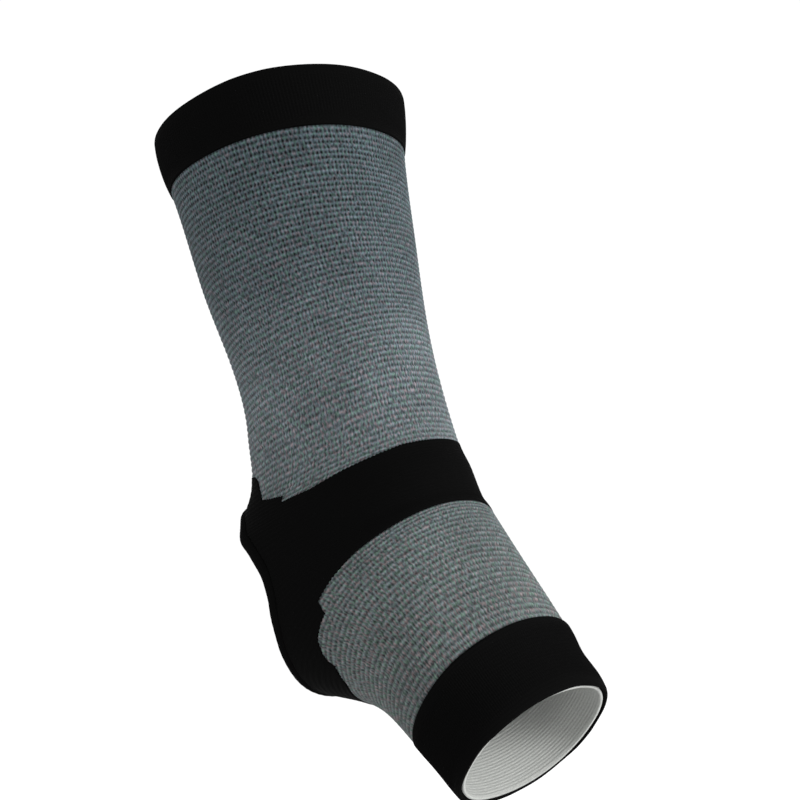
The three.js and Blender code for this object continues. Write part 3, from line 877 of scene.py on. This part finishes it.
share = np.arange(HEM_STEPS + 1) / HEM_STEPS
turn = 2 * np.pi * np.arange(HEM_SIDES + 1) / HEM_SIDES
pucker = 1 + HEM_PUCKER * np.sin(2 * np.pi * share * HEM_PUCKERS)
distance = (HEM_WIDTH / 2) * (1 - np.cos(turn))[None, :] * np.ones_like(share)[:, None]
offset = BAND_PROUD - KNIT_WALL / 2 + (HEM_THICKNESS / 2) * np.sin(turn)[None, :] * pucker[:, None]
station, around = beside_opening(share[:, None] * np.ones_like(distance), distance)
points = wall_point(station, around, offset + heel_fold(station, around))
uvs = np.stack([share[:, None] * HEM_STITCHES * np.ones_like(distance), distance / COURSE_PITCH], axis=-1)
bm = bmesh.new()
wrapped_grid(bm, points, uvs)
weld(bm)
hem = add_object("heel_hem_roll", bm, black_rib_knit)
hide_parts("heel_opening_hem")
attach(hem, "root")


# Heel band
# The black band round the bend of the brace, knitted on between the two grey tubes in one piece.
# It is narrow at the front and wide at the sides and back, where the heel window is left open in it.
FRONT_COLUMNS = 76
BAND_ROWS = 44
SPOKE_ROWS = 44
EDGE_ROWS = 4
EDGE_DEPTH = 0.0020
HEM_GAP = 0.0001
BAND_RIB = 0.00008
BAND_SPOKES = [
    {"border": 0, "opening": 0},
    {"border": 0.3, "opening": 0.36},
    {"border": 0.7, "opening": 0.66},
    {"border": 1, "opening": 1},
]

# One side of the band, which the loop at the end mirrors. Its front is a plain grid with a column for
# each degree. Behind that, spokes run from the edge of the heel window out to the border.
degrees = np.arange(181.0)
upper, lower = band_top(degrees) + SEAM_GAP, band_bottom(degrees) - SEAM_GAP
down_share = np.linspace(0, 1, BAND_ROWS + 1)
front_around = np.broadcast_to(degrees[:FRONT_COLUMNS + 1, None], (FRONT_COLUMNS + 1, BAND_ROWS + 1))
front_station = upper[:FRONT_COLUMNS + 1, None] + down_share * (lower - upper)[:FRONT_COLUMNS + 1, None]
border_around = np.concatenate([
    degrees[:FRONT_COLUMNS - 1:-1], np.full(BAND_ROWS - 1, degrees[FRONT_COLUMNS]), degrees[FRONT_COLUMNS:],
])
border_station = np.concatenate([
    upper[:FRONT_COLUMNS - 1:-1], front_station[FRONT_COLUMNS, 1:-1], lower[FRONT_COLUMNS:],
])

# A strip of even depth inside the border takes up its steps and teeth, so that the rest lies smooth
edge_around = np.maximum(border_around, FRONT_COLUMNS + 2)
edge_top, edge_bottom = (
    np.mean([edge(edge_around + d) for d in (-5, -4, -3, -2, -1, 0, 1, 2, 3, 4, 5)], axis=0)
    for edge in (band_top, band_bottom)
)
edge_station_inside = np.clip(border_station, edge_top + EDGE_DEPTH, edge_bottom - EDGE_DEPTH)

border_share = np.linspace(0, 1, len(border_around))
opening_share = np.interp(
    border_share, [row["border"] for row in BAND_SPOKES], [row["opening"] for row in BAND_SPOKES]
)
hem_reach = np.full_like(opening_share, HEM_WIDTH + HEM_GAP)
inner_station, inner_around = beside_opening(opening_share / 2, hem_reach)
inner_around = np.where(border_around == 180, 180, inner_around)
out_share, edge_share = np.linspace(0, 1, SPOKE_ROWS + 1), np.linspace(0, 1, EDGE_ROWS + 1)[1:]
spoke_station = np.concatenate([
    inner_station[:, None] + out_share * (edge_station_inside - inner_station)[:, None],
    edge_station_inside[:, None] + edge_share * (border_station - edge_station_inside)[:, None],
], axis=1)
spoke_around = np.concatenate([
    inner_around[:, None] + out_share * (edge_around - inner_around)[:, None],
    edge_around[:, None] + edge_share * (border_around - edge_around)[:, None],
], axis=1)

bm = bmesh.new()
for station, around in ((front_station, front_around), (spoke_station, spoke_around)):
    for side in (1, -1):
        ribs = 0.5 - 0.5 * np.cos(2 * np.pi * station / ROW_PITCH)
        offset = BAND_PROUD + BAND_RIB * (ribs - 1) + heel_fold(station, around)
        points = wall_point(station, side * around, offset)
        uvs = np.stack([side * around / 360 * STITCHES_AROUND, station / ROW_PITCH], axis=-1)
        wrapped_grid(bm, points, uvs)
weld(bm, 5e-6)

# The same black yarn in the rows of the body knit
band = add_object("heel_band_knit", bm, black_rib_knit)
wall = band.modifiers.new("wall", "SOLIDIFY")
wall.thickness = KNIT_WALL
wall.offset = -1
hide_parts("heel_band")
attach(band, "root")
